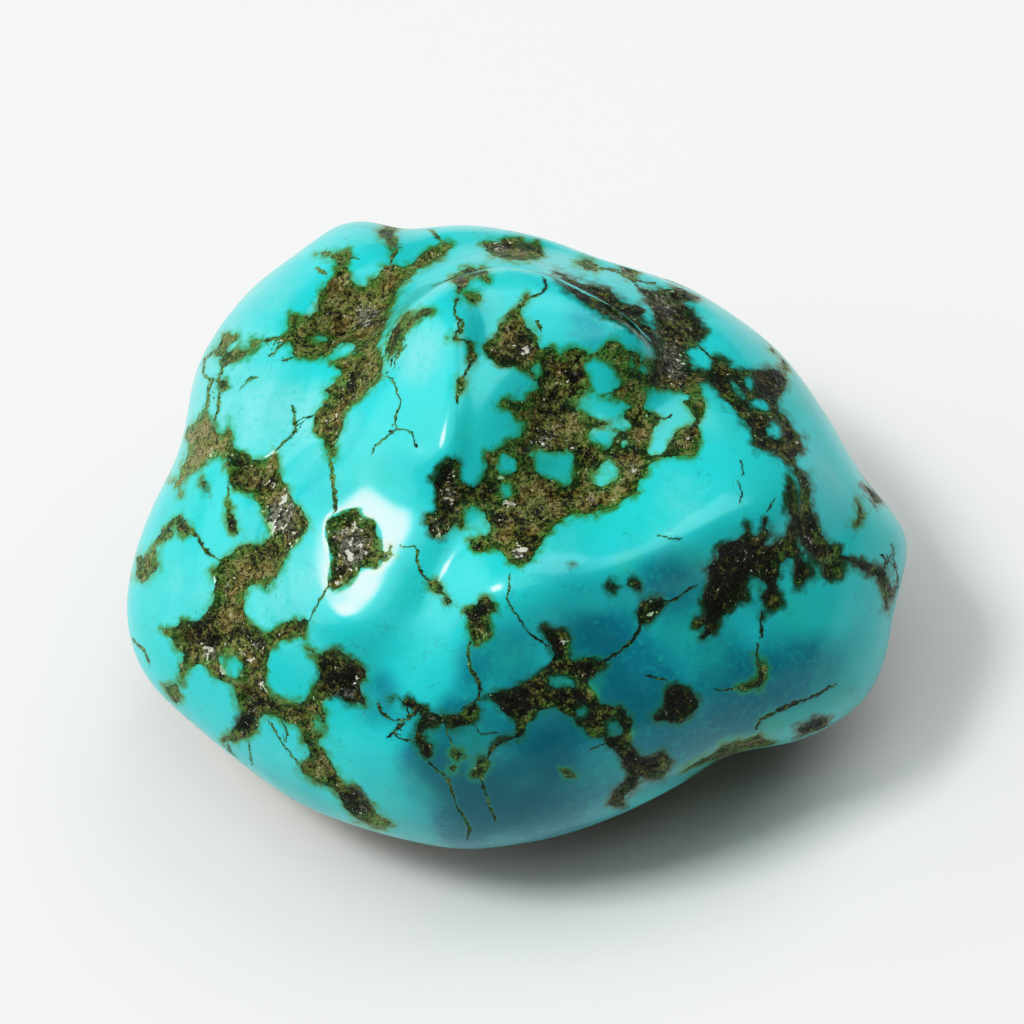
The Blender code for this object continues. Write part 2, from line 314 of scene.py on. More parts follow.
        (770, 612), (765, 615), (763, 617), (762, 622), (761, 616), (767, 613), (768, 608), (765, 603),
        (762, 598), (763, 592), (767, 590), (766, 585), (763, 580), (758, 577), (752, 575), (748, 577),
        (747, 582), (747, 590), (747, 597), (745, 600), (738, 600), (733, 604), (730, 610), (725, 615),
        (720, 621), (717, 628), (712, 634), (706, 638), (700, 638), (706, 632), (708, 625), (704, 618),
        (706, 612), (704, 605), (704, 598), (706, 592), (709, 585), (708, 575), (708, 567), (712, 563),
        (719, 560), (716, 555),
    ]),
    (0.3, 0.05, [(694, 620), (700, 619), (702, 624), (700, 629), (694, 627)]),
    (0.3, 0.2, [
        (822, 565), (830, 558), (841, 560), (842, 575), (836, 578), (827, 580), (823, 575),
    ]),
    (0.4, 0.06, [
        (757, 655), (762, 660), (767, 668), (766, 676), (761, 684), (760, 690), (750, 688), (742, 690),
        (737, 686), (745, 684), (755, 680), (760, 676), (759, 668), (756, 660),
    ]),
    (0.55, 0.06, [
        (715, 752), (722, 747), (730, 743), (740, 740), (750, 737), (760, 735), (763, 738), (770, 741),
        (775, 743), (780, 747), (772, 752), (760, 753), (750, 755), (740, 757), (730, 759), (720, 760),
        (705, 764), (697, 766), (683, 772), (690, 765), (697, 762), (705, 758),
    ]),
    (0.15, 0.12, [
        (796, 730), (803, 725), (812, 720), (820, 717), (828, 718), (829, 723), (825, 728), (818, 731),
        (810, 733), (802, 737), (796, 739), (803, 733),
    ]),
    # the right-hand shoulder and the tail that runs down to the nose
    (0.25, 0.12, [
        (715, 357), (722, 361), (730, 364), (736, 369), (743, 372), (750, 370), (765, 370), (780, 369),
        (785, 372), (786, 380), (788, 385), (783, 392), (778, 398), (776, 405), (780, 412), (786, 417),
        (791, 424), (795, 430), (800, 437), (803, 443), (803, 450), (798, 455), (794, 462), (800, 472),
        (807, 480), (810, 490), (809, 500), (811, 510), (815, 520), (820, 530), (822, 537), (826, 541),
        (830, 545), (836, 546), (841, 548), (842, 555), (850, 558), (860, 560), (870, 564), (878, 567),
        (883, 568), (886, 575), (889, 585), (892, 588), (893, 595), (888, 602), (886, 612), (885, 605),
        (884, 595), (882, 585), (878, 578), (866, 571), (858, 567), (850, 564), (842, 562), (834, 558),
        (826, 561), (818, 560), (812, 556), (808, 551), (803, 545), (798, 538), (793, 520), (788, 512),
        (787, 500), (787, 490), (790, 480), (794, 486), (796, 500), (800, 512), (802, 500), (803, 492),
        (802, 483), (798, 476), (792, 467), (785, 460), (778, 455), (770, 452), (762, 448), (757, 442),
        (755, 435), (752, 428), (748, 422), (742, 415), (737, 408), (730, 400), (722, 393), (715, 385),
        (705, 382), (696, 386), (690, 378), (695, 371), (705, 373), (712, 368),
    ]),
    (0.6, 0.05, [
        (768, 342), (772, 344), (775, 348), (779, 344), (783, 348), (787, 355), (788, 362), (789, 370),
        (785, 376), (783, 370), (781, 362), (779, 355), (775, 352), (771, 350), (769, 346),
    ]),
    (0.25, 0.06, [(862, 484), (872, 488), (880, 496), (884, 502), (875, 505), (870, 495)]),
    (0.4, 0.05, [(856, 500), (861, 506), (864, 514), (861, 522), (856, 529), (854, 526), (859, 516)]),
    # under the hump's upper rim
    (0.15, 0.15, [
        (556, 271), (575, 280), (600, 294), (625, 308), (648, 325), (662, 344), (665, 370), (658, 352),
        (643, 336), (616, 317), (590, 301), (566, 284),
    ]),
    # two dark feet of the green stain below the ridge, and a dot beside it
    (0.1, 0.03, [(608, 582), (613, 584), (614, 589), (610, 592), (606, 588)]),
    (0.1, 0.03, [(633, 578), (638, 582), (642, 588), (639, 592), (634, 588), (631, 583)]),
    (0.1, 0.02, [(572, 563), (575, 565), (573, 568), (570, 566)]),
]
# Lumps of turquoise that stand free inside the patches.
ISLANDS = [
    [(325, 358), (332, 350), (342, 343), (354, 342), (358, 346), (352, 354), (340, 360), (328, 361)],
    [(310, 337), (320, 335), (328, 338), (322, 342), (312, 342)],
    [(314, 359), (322, 355), (330, 357), (328, 364), (318, 365)],
    [(690, 350), (697, 346), (703, 352), (709, 359), (711, 366), (706, 371), (700, 370), (695, 363), (690, 357)],
    [(520, 243), (527, 236), (536, 236), (534, 243)],
    [
        (584, 358), (598, 356), (612, 362), (618, 372), (623, 380), (621, 386), (616, 388), (614, 398),
        (606, 399), (598, 394), (592, 390), (588, 385), (585, 375),
    ],
    [
        (588, 389), (594, 392), (600, 397), (612, 397), (622, 399), (628, 405), (632, 408), (625, 412),
        (624, 418), (630, 422), (632, 428), (625, 431), (615, 429), (608, 423), (598, 421), (590, 417),
        (583, 413), (575, 409), (570, 404), (577, 400), (583, 396),
    ],
    [
        (588, 434), (594, 428), (603, 427), (610, 428), (616, 433), (616, 441), (612, 447), (604, 449),
        (596, 446), (590, 441),
    ],
    [(621, 440), (625, 438), (629, 441), (629, 446), (624, 447), (620, 444)],
    [
        (641, 384), (650, 386), (660, 389), (670, 388), (680, 389), (688, 394), (693, 398), (686, 400),
        (681, 402), (686, 408), (692, 416), (691, 424), (683, 428), (676, 432), (674, 440), (672, 447),
        (669, 455), (663, 458), (653, 457), (648, 452), (650, 443), (651, 435), (655, 427), (660, 421),
        (655, 417), (648, 413), (643, 405), (645, 398),
    ],
    [
        (527, 455), (533, 450), (545, 450), (553, 452), (560, 452), (567, 448), (575, 453), (574, 466),
        (578, 472), (574, 480), (570, 486), (563, 487), (556, 482), (548, 480), (541, 475), (536, 468),
        (533, 462),
    ],
    [
        (606, 459), (613, 459), (618, 463), (620, 472), (618, 480), (610, 484), (602, 487), (595, 484),
        (590, 479), (593, 473), (600, 468),
    ],
    [
        (498, 456), (505, 453), (513, 456), (517, 463), (516, 471), (508, 475), (500, 474), (496, 467),
    ],
    [(499, 484), (506, 481), (513, 484), (515, 492), (510, 499), (502, 500), (498, 493)],
    [
        (468, 505), (475, 503), (482, 509), (487, 518), (491, 527), (488, 534), (480, 538), (470, 540),
        (462, 543), (456, 540), (460, 532), (466, 526), (464, 517),
    ],
    [(625, 361), (632, 359), (637, 365), (634, 372), (627, 371)],
    [(640, 366), (647, 364), (650, 370), (647, 376), (641, 374)],
    [(533, 366), (541, 366), (543, 375), (538, 379), (533, 375)],
    [(218, 655), (226, 652), (236, 656), (243, 662), (243, 672), (237, 680), (229, 679), (224, 670)],
    [(313, 718), (317, 713), (321, 718), (322, 727), (320, 734), (314, 733), (312, 726)],
    [(545, 678), (555, 672), (562, 673), (570, 676), (577, 680), (580, 686), (570, 688), (550, 688)],
    [(577, 707), (583, 704), (588, 709), (588, 716), (584, 720), (578, 718), (575, 713)],
    [(606, 720), (612, 717), (618, 720), (622, 727), (622, 735), (615, 737), (608, 735), (604, 728)],
    [(731, 378), (738, 380), (744, 388), (750, 393), (747, 398), (740, 394), (734, 387)],
    [(746, 378), (752, 375), (757, 383), (757, 391), (751, 391), (747, 385)],
    [(749, 402), (756, 397), (765, 399), (771, 404), (773, 411), (768, 416), (758, 413), (752, 409)],
    [(769, 430), (772, 423), (778, 420), (783, 425), (786, 433), (782, 441), (775, 441), (770, 437)],
]
# Veins: half their width in pixels, and the line they follow.
VEINS = [
    (2.0, [(262, 341), (270, 340), (280, 337)]),
    (2.0, [(272, 354), (277, 350), (281, 344), (285, 341)]),
    (1.5, [(285, 361), (292, 358)]),
    (2.0, [(318, 270), (324, 272)]),
    (1.5, [(349, 258), (356, 258)]),
    (1.5, [(213, 352), (206, 358), (203, 366), (204, 375), (210, 379), (217, 380), (222, 374), (221, 362)]),
    (2.0, [(211, 382), (208, 390), (208, 398), (207, 406), (204, 412)]),
    (2.0, [(219, 390), (219, 400), (218, 410), (215, 418)]),
    (2.0, [(398, 250), (393, 256), (391, 264)]),
    (2.0, [(425, 226), (432, 231), (438, 238), (442, 241)]),
    (1.0, [(241, 388), (246, 383), (250, 379), (256, 377)]),
    (1.6, [(293, 409), (295, 415), (294, 422), (297, 428), (291, 437), (285, 441), (279, 447), (276, 451)]),
    (1.2, [(303, 418), (312, 417), (320, 410)]),
    (1.5, [(457, 300), (454, 310), (457, 320), (459, 330)]),
    (1.5, [(460, 318), (464, 328), (462, 333)]),
    (2.0, [(459, 339), (466, 341), (472, 346), (473, 354), (470, 362)]),
    (1.8, [(470, 366), (465, 374), (461, 382), (459, 390), (458, 400)]),
    (1.2, [(414, 320), (405, 335), (396, 348), (388, 360)]),
    (1.2, [(405, 345), (398, 354), (394, 365)]),
    (1.0, [(385, 377), (392, 379), (396, 387), (398, 395), (401, 400), (397, 412), (395, 420), (396, 427)]),
    (1.0, [
        (372, 452), (376, 446), (383, 440), (390, 435), (396, 430), (404, 429), (411, 432), (414, 440),
        (416, 447),
    ]),
    (2.0, [(545, 278), (547, 283), (543, 290), (535, 294), (527, 297), (522, 300)]),
    (2.0, [(538, 322), (541, 328)]),
    (1.8, [(600, 268), (615, 270), (625, 275), (633, 280), (645, 282), (655, 284)]),
    (1.5, [(633, 280), (640, 290), (650, 292)]),
    (1.2, [(700, 347), (706, 352), (712, 358), (722, 363), (730, 366)]),
    (1.2, [(655, 418), (662, 420), (668, 418)]),
    (1.0, [(621, 389), (612, 392), (606, 394)]),
    (1.2, [(228, 480), (228, 495), (226, 505), (228, 515), (232, 525), (236, 532)]),
    (2.5, [
        (157, 543), (163, 532), (171, 525), (175, 519), (180, 517), (186, 524), (191, 530), (197, 536),
        (201, 541), (203, 548), (208, 553), (215, 558),
    ]),
    (1.5, [(153, 547), (157, 540)]),
    (1.5, [(131, 637), (138, 645), (144, 650), (148, 658), (149, 663)]),
    (2.6, [(331, 463), (333, 475), (334, 490), (336, 500), (334, 510)]),
    (1.3, [(329, 583), (325, 592), (320, 600), (315, 608), (311, 618)]),
    (0.8, [(400, 545), (408, 548), (413, 546)]),
    (1.3, [
        (415, 545), (418, 553), (417, 560), (419, 568), (423, 575), (428, 580), (435, 584), (440, 590),
        (445, 597), (448, 603),
    ]),
    (0.9, [(509, 575), (509, 590), (507, 598), (510, 605), (515, 613), (520, 620), (525, 628), (532, 635),
           (540, 640), (547, 645)]),
    (2.2, [(469, 645), (469, 660), (470, 668), (474, 674), (478, 680), (481, 690), (479, 698), (473, 703),
           (465, 707)]),
    (0.9, [(660, 535), (672, 539), (680, 539)]),
    (1.2, [(663, 601), (672, 601), (678, 597), (684, 592), (695, 586)]),
    (2.2, [
        (641, 624), (638, 632), (633, 640), (626, 646), (620, 652), (612, 657), (605, 661), (598, 664),
    ]),
    (1.0, [(648, 675), (656, 678), (666, 680)]),
    (3.0, [(842, 556), (855, 562), (866, 568), (874, 572), (882, 575), (887, 582), (890, 592)]),
    (1.2, [(892, 545), (894, 552), (889, 558)]),
    (1.4, [(883, 556), (887, 563), (884, 570), (880, 573)]),
    (1.2, [(892, 556), (895, 565), (897, 575), (898, 585), (895, 592)]),
    (2.0, [(762, 615), (761, 625), (762, 634)]),
    (1.6, [(758, 646), (757, 655)]),
    (1.0, [(737, 688), (728, 690), (716, 690)]),
    (2.4, [(805, 700), (795, 703), (785, 707), (775, 712), (767, 716), (760, 720), (757, 726)]),
    (1.8, [(833, 685), (825, 690), (815, 695), (805, 700)]),
    (0.8, [(270, 722), (276, 733), (283, 743), (290, 753), (297, 762), (303, 768)]),
    (1.2, [(283, 722), (287, 730), (287, 737)]),
    (1.6, [(228, 745), (230, 752), (236, 758), (238, 761)]),
    (1.2, [(249, 745), (250, 752), (252, 762)]),
    (1.3, [(378, 705), (382, 712), (388, 717), (396, 721), (403, 720), (408, 715), (408, 707), (402, 700)]),
    (1.6, [(415, 712), (408, 720), (400, 726), (395, 731), (390, 735)]),
    (1.0, [(412, 740), (405, 740), (400, 738)]),
    (1.0, [(445, 725), (449, 735), (451, 742), (455, 750), (458, 756)]),
    (1.7, [
        (431, 763), (436, 769), (442, 773), (448, 779), (451, 785), (453, 792), (455, 800), (458, 808),
        (463, 815), (467, 822), (470, 830), (468, 836),
    ]),
    (1.7, [(481, 778), (483, 787), (487, 795), (489, 803), (492, 812), (496, 820)]),
    (1.0, [(476, 727), (480, 733), (483, 735), (490, 733), (496, 733)]),
    (2.0, [(516, 737), (505, 741), (497, 744), (491, 750), (488, 758)]),
    (1.0, [(603, 744), (597, 747), (592, 749)]),
    (1.8, [(851, 456), (857, 462), (860, 468)]),
    (0.7, [(744, 458), (745, 470)]),
    (0.7, [(738, 478), (742, 490), (740, 500)]),
    (0.7, [(768, 510), (774, 500)]),
    (1.2, [(766, 520), (764, 530), (760, 538)]),
]
# Stains and grains, as round spots: middle, radius, how much to add. Grey is rock that is pale,
# glittering crystal; tone is rock that is darker or more ochre; green is the colour of the
# turquoise itself. The blue and pale spots further down are painted shade and painted light.
GREY_SPOTS = [
    (365, 313, 22, 0.9), (283, 508, 30, 0.8), (272, 520, 18, 0.9), (290, 535, 14, 0.5), (350, 545, 34, 1.0),
    (353, 555, 12, 0.5), (448, 495, 18, 0.7), (436, 525, 14, 0.8), (455, 478, 12, 0.5), (519, 552, 14, 0.9),
    (505, 515, 16, 0.5), (592, 499, 9, 1.0), (527, 352, 10, 1.0), (672, 352, 30, 0.75), (676, 375, 22, 0.6),
    (668, 300, 18, 0.8), (208, 654, 14, 0.9), (253, 645, 12, 0.8), (262, 682, 10, 0.9), (222, 672, 12, 0.7),
    (247, 701, 8, 0.9), (543, 440, 14, 0.8), (638, 470, 14, 0.7), (577, 374, 8, 0.7), (322, 765, 12, 0.5),
    (362, 812, 10, 0.6), (330, 475, 14, 0.8), (334, 500, 12, 0.8), (430, 715, 12, 0.6), (648, 616, 6, 0.9),
    (340, 672, 14, 0.4), (352, 690, 12, 0.7), (742, 556, 16, 0.4), (810, 540, 10, 0.6), (500, 248, 20, 0.7),
    (687, 442, 12, 0.5), (880, 590, 12, 0.6), (625, 270, 12, 0.4), (430, 270, 26, 0.4), (560, 645, 10, 0.4),
]
TONE_SPOTS = [
    (205, 633, 22, -0.5), (240, 722, 14, -0.6), (438, 478, 16, -0.5), (340, 690, 22, -0.5),
    (357, 797, 18, -0.5), (380, 822, 12, 0.5), (322, 697, 12, 0.4), (552, 410, 28, -0.2),
    (575, 430, 26, 0.35), (615, 475, 20, 0.2), (570, 495, 20, -0.1), (520, 540, 14, -0.2),
    (560, 380, 16, 0.1), (510, 335, 18, 0.3), (372, 545, 10, 0.35), (343, 583, 10, 0.3),
    (240, 570, 18, 0.15), (265, 570, 12, 0.25), (575, 377, 9, -0.7), (310, 325, 22, 0.1),
    (340, 340, 16, -0.15), (350, 290, 20, 0.2), (700, 320, 12, -0.3), (767, 378, 20, -0.25),
    (826, 722, 4, 0.6), (775, 724, 8, 0.4), (740, 748, 16, 0.15), (595, 690, 14, 0.35),
    (630, 735, 8, 0.5), (660, 765, 12, 0.3), (510, 700, 26, -0.4), (250, 690, 16, 0.1),
    (565, 648, 8, 0.3), (800, 570, 10, -0.1), (885, 595, 10, 0.2), (725, 600, 22, -0.2),
]
GREEN_SPOTS = [
    (300, 335, 26, 0.5), (232, 345, 20, 0.4), (470, 285, 14, 0.4), (410, 318, 16, 0.6), (398, 345, 16, 0.5),
    (505, 345, 22, 0.5), (540, 372, 14, 0.8), (560, 370, 10, 0.8), (575, 400, 14, 0.9), (522, 424, 12, 0.8),
    (548, 458, 18, 0.5), (568, 486, 20, 0.9), (530, 490, 20, 0.9), (476, 520, 20, 0.5), (610, 500, 16, 0.9),
    (597, 475, 14, 0.5), (630, 368, 16, 0.8), (646, 372, 12, 0.8), (585, 412, 14, 0.6), (480, 620, 22, 0.7),
    (243, 560, 24, 0.6), (232, 660, 14, 0.7), (252, 730, 14, 0.8), (318, 725, 14, 0.8), (330, 655, 14, 0.5),
    (624, 568, 18, 0.5), (612, 585, 12, 0.6), (636, 584, 12, 0.6), (430, 740, 20, 0.6), (470, 740, 30, 0.4),
    (560, 680, 20, 0.9), (582, 712, 14, 0.6), (612, 728, 14, 0.6), (655, 765, 18, 0.7), (660, 712, 20, 0.4),
    (700, 632, 14, 0.6), (757, 585, 16, 0.7), (812, 570, 18, 0.9), (795, 500, 14, 0.9), (762, 388, 12, 0.8),
    (740, 388, 12, 0.6), (720, 360, 16, 0.8), (813, 471, 8, 0.9), (790, 550, 16, 0.5), (893, 570, 12, 0.5),
    (745, 685, 14, 0.5), (775, 722, 20, 0.6), (735, 750, 26, 0.6), (850, 700, 24, 0.4), (600, 680, 12, 0.7),
    (785, 610, 14, 0.4), (700, 560, 14, 0.4), (510, 485, 16, 0.3), (400, 715, 16, 0.3), (345, 590, 12, 0.4),
]
# Painted glints: pale grains of quartz and pyrite in the rock, painted near white where their broken faces catch the
# light.
GLINT_SPOTS = [
    (511, 504, 7, 0.9), (503, 500, 5, 0.7), (580, 358, 4, 0.9), (567, 382, 4, 0.9), (489, 447, 7, 0.6),
    (499, 478, 5, 0.8), (258, 512, 9, 0.7), (268, 530, 12, 0.8), (284, 497, 8, 0.7), (270, 482, 9, 0.4),
    (296, 545, 10, 0.5), (352, 525, 7, 0.7), (346, 553, 8, 0.8), (362, 574, 7, 0.6), (338, 582, 6, 0.7),
    (224, 668, 9, 0.8), (238, 672, 7, 0.7), (262, 690, 8, 0.5), (205, 650, 7, 0.5), (440, 535, 6, 0.7),
    (452, 500, 8, 0.6), (452, 470, 6, 0.5), (334, 462, 7, 0.6), (337, 440, 6, 0.5), (357, 682, 6, 0.6),
    (520, 548, 8, 0.6), (527, 352, 7, 0.5), (250, 440, 8, 0.4), (648, 616, 4, 0.8), (680, 360, 10, 0.3),
    (330, 420, 6, 0.5), (566, 640, 7, 0.4), (250, 660, 6, 0.6), (212, 455, 8, 0.4), (268, 449, 7, 0.4),
]
# Painted shade: spots of bluer, darker turquoise on faces that lie in shade, most of them on the lower front.
PAINTED_SHADE_SPOTS = [
    (560, 740, 170, 0.55), (460, 800, 110, 0.6), (720, 690, 130, 0.45), (620, 630, 120, 0.35),
    (590, 650, 50, 0.9), (620, 640, 40, 0.5), (640, 710, 60, 0.8), (800, 668, 60, 0.9), (560, 770, 80, 0.6),
    (740, 700, 60, 0.8), (500, 660, 50, 0.6), (460, 700, 30, 0.6), (490, 720, 40, 0.4), (300, 800, 60, 0.3),
    (860, 540, 60, 0.35), (480, 800, 60, 0.8), (535, 800, 60, 0.7), (430, 770, 40, 0.8), (545, 745, 50, 0.9),
    (380, 700, 40, 0.8), (470, 665, 30, 0.6), (560, 720, 30, 0.6), (460, 840, 40, 0.4),
    (720, 655, 40, 0.5), (700, 740, 50, 0.5), (845, 640, 60, 0.3), (440, 742, 55, 0.9),
    (485, 805, 60, 0.5), (680, 585, 50, 0.9), (600, 325, 50, 0.7), (600, 700, 50, 0.5),
]
# Painted light: spots of paler, whiter turquoise on the upper left faces that the lamp and windows light, standing
# also for paler patches of the stone.
PAINTED_LIGHT_SPOTS = [
    (240, 400, 100, 0.85), (185, 590, 70, 0.45), (290, 590, 80, 0.6), (420, 350, 50, 0.8), (250, 280, 80, 0.6),
    (330, 440, 80, 0.5), (560, 550, 50, 0.35), (680, 505, 60, 0.35), (400, 640, 60, 0.2), (285, 785, 60, 0.4), (460, 600, 40, 0.2),
    (215, 710, 50, 0.2), (500, 285, 50, 0.3), (330, 210, 70, 0.6), (480, 225, 60, 0.5), (560, 255, 40, 0.5),
]

points = np.empty(len(polished.vertices) * 3)
polished.vertices.foreach_get("co", points)
points = points.reshape(-1, 3)
normals = np.empty(len(polished.vertices) * 3)
polished.vertex_normals.foreach_get("vector", normals)
normals = normals.reshape(-1, 3)
facing = normals @ np.array(FACE_OUT)
from_camera = points - np.array(camera_place)
shrink = CAMERA_DISTANCE / -(from_camera @ np.array(FACE_OUT))
across = from_camera @ np.array(FACE_RIGHT) * shrink / PIXEL + IMAGE_SIDE / 2
down = IMAGE_SIDE / 2 - from_camera @ np.array(FACE_UP) * shrink / PIXEL
seen = np.nonzero(facing > -0.1)[0]
seen_x = across[seen]
seen_y = down[seen]


def along_line(start, end):
    # how far each seen vertex is from a straight line, and which side of it
    run_x = end[0] - start[0]
    run_y = end[1] - start[1]
    length = math.hypot(run_x, run_y)
    share = np.clip(((seen_x - start[0]) * run_x + (seen_y - start[1]) * run_y) / length**2, 0, 1)
    away = np.hypot(seen_x - start[0] - share * run_x, seen_y - start[1] - share * run_y)
    side = np.sign((seen_x - start[0]) * run_y - (seen_y - start[1]) * run_x)
    return away, side


def depth_inside(outline):
    # distance in pixels to a closed outline, positive inside it
    nearest = np.full(len(seen), 1e3)
    inside = np.zeros(len(seen), bool)
    for start, end in zip(outline, outline[1:] + outline[:1]):
        away, side = along_line(start, end)
        nearest = np.minimum(nearest, away)
        if start[1] != end[1]:
            crosses = (start[1] > seen_y) != (end[1] > seen_y)
            meeting = start[0] + (seen_y - start[1]) * (end[0] - start[0]) / (end[1] - start[1])
            inside ^= crosses & (seen_x < meeting)
    return np.where(inside, nearest, -nearest)


TONE_REACH = 5.0
edge = np.full(len(seen), -1e3)
weights = np.full(len(seen), 1e-9)
tone = np.zeros(len(seen))
recess = np.zeros(len(seen))
for patch_tone, patch_depth, outline in PATCHES:
    depth = depth_inside(outline)
    edge = np.maximum(edge, depth)
    weight = np.exp(np.clip(depth, -60, 4) / TONE_REACH)
    weights += weight
    tone += weight * patch_tone
    recess += weight * patch_depth
tone /= weights
recess /= weights
for outline in ISLANDS:
    edge = np.minimum(edge, -depth_inside(outline))

vein_away = np.full(len(seen), 1e3)
vein_side = np.ones(len(seen))
vein_half = np.ones(len(seen))
for half, line in VEINS:
    for start, end in zip(line, line[1:]):
        away, side = along_line(start, end)
        nearer = away - half < vein_away - vein_half
        vein_away = np.where(nearer, away, vein_away)
        vein_side = np.where(nearer, side, vein_side)
        vein_half = np.where(nearer, half, vein_half)


def spotted(spots):
    total = np.zeros(len(seen))
    for x, y, radius, amount in spots:
        total += amount * np.clip(1 - ((seen_x - x) ** 2 + (seen_y - y) ** 2) / radius**2, 0, 1) ** 1.5
    return total


# Round the sides, the back and underneath, the web is a fresh one: crooked cells four to seven
# millimetres across, with rock of changing width between them.
CELL = 6.0 * MM
noise.seed_set(5)
web_edge = np.empty(len(points))
web_tone = np.empty(len(points))
for index, place in enumerate(points):
    spot = Vector(place) / CELL
    bent = spot + 0.35 * noise.noise_vector(spot * 1.3) + 0.12 * noise.noise_vector(spot * 4.1)
    gaps = noise.voronoi(bent)[0]
    width = 0.11 * noise.noise(spot * 0.9 + Vector((3, 7, 1))) + 0.12 * noise.noise(spot * 2.3) + 0.01
    # the side it lies on is nearly all rock
    width += 0.45 * min(max((6 * MM - place[2]) / (4 * MM), 0), 1)
    web_edge[index] = (width - (gaps[1] - gaps[0]) / 2) * CELL / MM
    web_tone[index] = 0.45 + 0.5 * noise.noise(spot * 0.8 + Vector((9, 2, 5)))

mm_per_pixel = PIXEL / MM
FADE_FROM, FADE_TO = 0.02, 0.2
share = np.zeros(len(points))
share[seen] = np.clip((facing[seen] - FADE_FROM) / (FADE_TO - FADE_FROM), 0, 1)
measures = {}


def blended(name, on_face, elsewhere):
    whole = np.array(elsewhere, float) * np.ones(len(points))
    face_part = np.zeros(len(points))
    face_part[seen] = on_face
    measures[name] = face_part * share + whole * (1 - share)


blended("rock_edge", np.maximum(edge * mm_per_pixel, -3), web_edge)
blended("rock_tone", np.clip(tone + spotted(TONE_SPOTS), 0, 1), web_tone)
blended("rock_grey", np.clip(spotted(GREY_SPOTS), 0, 1), np.clip(2 * (web_tone - 0.5), 0, 1))
blended("stone_green", np.clip(spotted(GREEN_SPOTS), 0, 1), 0.15)
blended("rock_glint", np.clip(spotted(GLINT_SPOTS), 0, 1), 0.05)
# Painted shade on the face; round the sides and back, a small even amount that only feeds the stone's own bluer
# clouds.
blended("painted_shade_blue", np.clip(spotted(PAINTED_SHADE_SPOTS), 0, 2), 0.25)
# Painted light with paler patches on the face; a small even amount round the rest, which feeds paler clouds.
blended("stone_pale_and_lit", np.clip(spotted(PAINTED_LIGHT_SPOTS), 0, 1), 0.2)
blended("vein_offset", vein_side * np.minimum(vein_away, 60) * mm_per_pixel, 3)
blended("vein_away", np.minimum(vein_away, 60) * mm_per_pixel, 3)
blended("vein_half", vein_half * mm_per_pixel, 0.05)
blended("rock_recess", recess, 0.12)
for name, values in measures.items():
    polished.attributes.new(name, "FLOAT", "POINT").data.foreach_set("value", values.astype(np.float32))

# Small swells and hollows that the tumbling left: the line each follows, in pixels, how far it
# reaches to either side, and how high it stands in millimetres.
SWELLS = [
    ("ridge below the bowl", [(520, 600), (470, 660), (430, 730), (400, 790)], 90, 0.6),
    ("spine of the hump", [(462, 330), (450, 400), (447, 450)], 26, 0.28),
]
# Places that the tumbling evened out: middle and radius in pixels, and how many rounds.
EVENED = [(735, 430, 100, 90), (560, 315, 70, 60), (665, 470, 70, 60), ]
swell_height = np.zeros(len(seen))
for title, line, reach, height in SWELLS:
    nearest = np.full(len(seen), 1e3)
    for start, end in zip(line, line[1:]):
        nearest = np.minimum(nearest, along_line(start, end)[0])
    swell_height += height * np.clip(1 - (nearest / reach) ** 2, 0, 1) ** 2
# Ledges, where the stone steps down behind a rim: the rim's line with the low side on its left
# hand as the line runs, how deep the step is, and how far back the ground rises again.
LEDGES = [
    ("crown of the hump", [(392, 322), (403, 298), (424, 277), (455, 263), (498, 258), (530, 262), (548, 267)], 0.4, 36),
    ("upper rim of the hump", [(546, 270), (573, 290), (598, 307), (628, 328), (649, 346), (657, 370)], 0.8, 42),
]
for title, line, depth, reach in LEDGES:
    nearest = np.full(len(seen), 1e3)
    left_hand = np.ones(len(seen))
    for start, end in zip(line, line[1:]):
        away, side = along_line(start, end)
        left_hand = np.where(away < nearest, side, left_hand)
        nearest = np.minimum(nearest, away)
    behind = nearest * left_hand
    drop = np.clip(behind / 7, 0, 1)
    rise = np.clip(1 - behind / reach, 0, 1)
    swell_height -= depth * drop * drop * (3 - 2 * drop) * rise * rise * (3 - 2 * rise)
points[seen] += np.outer(swell_height * share[seen] * MM, FACE_OUT)

# Faces ground flat: middle and radius in pixels, the way each faces (right and up, as slopes)
# and how much it still domes, per millimetre.
GROUND = [("round the first pit", (354, 535), 105, (-0.25, 0.17), 0.014)]
for title, middle, radius, faces, dome in GROUND:
    right = (seen_x - middle[0]) * mm_per_pixel
    up = (middle[1] - seen_y) * mm_per_pixel
    flat = -faces[0] * right - faces[1] * up - dome * (right * right + up * up)
    weight = np.clip(1 - (np.hypot(right, up) / radius / mm_per_pixel) ** 2, 0, 1)
    weight = weight * weight * (3 - 2 * weight) * share[seen]
    standing = points[seen] @ np.array(FACE_OUT) / MM
    level = np.average(standing - flat, weights=weight)
    points[seen] += np.outer((flat + level - standing) * weight * MM, FACE_OUT)

edges = np.empty(len(polished.edges) * 2, int)
polished.edges.foreach_get("vertices", edges)
edges = edges.reshape(-1, 2)
neighbours = np.bincount(edges.ravel(), minlength=len(points))[:, None]
for x, y, radius, rounds in EVENED:
    pull = np.zeros((len(points), 1))
    apart = np.hypot(seen_x - x, seen_y - y) / radius
    pull[seen, 0] = np.clip(1 - apart**2, 0, 1) ** 2 * (facing[seen] > 0.1)
    for turn in range(rounds):
        total = np.zeros_like(points)
        for axis in range(3):
            total[:, axis] += np.bincount(edges[:, 0], points[edges[:, 1], axis], len(points))
            total[:, axis] += np.bincount(edges[:, 1], points[edges[:, 0], axis], len(points))
        points += (total / neighbours - points) * pull * 0.8

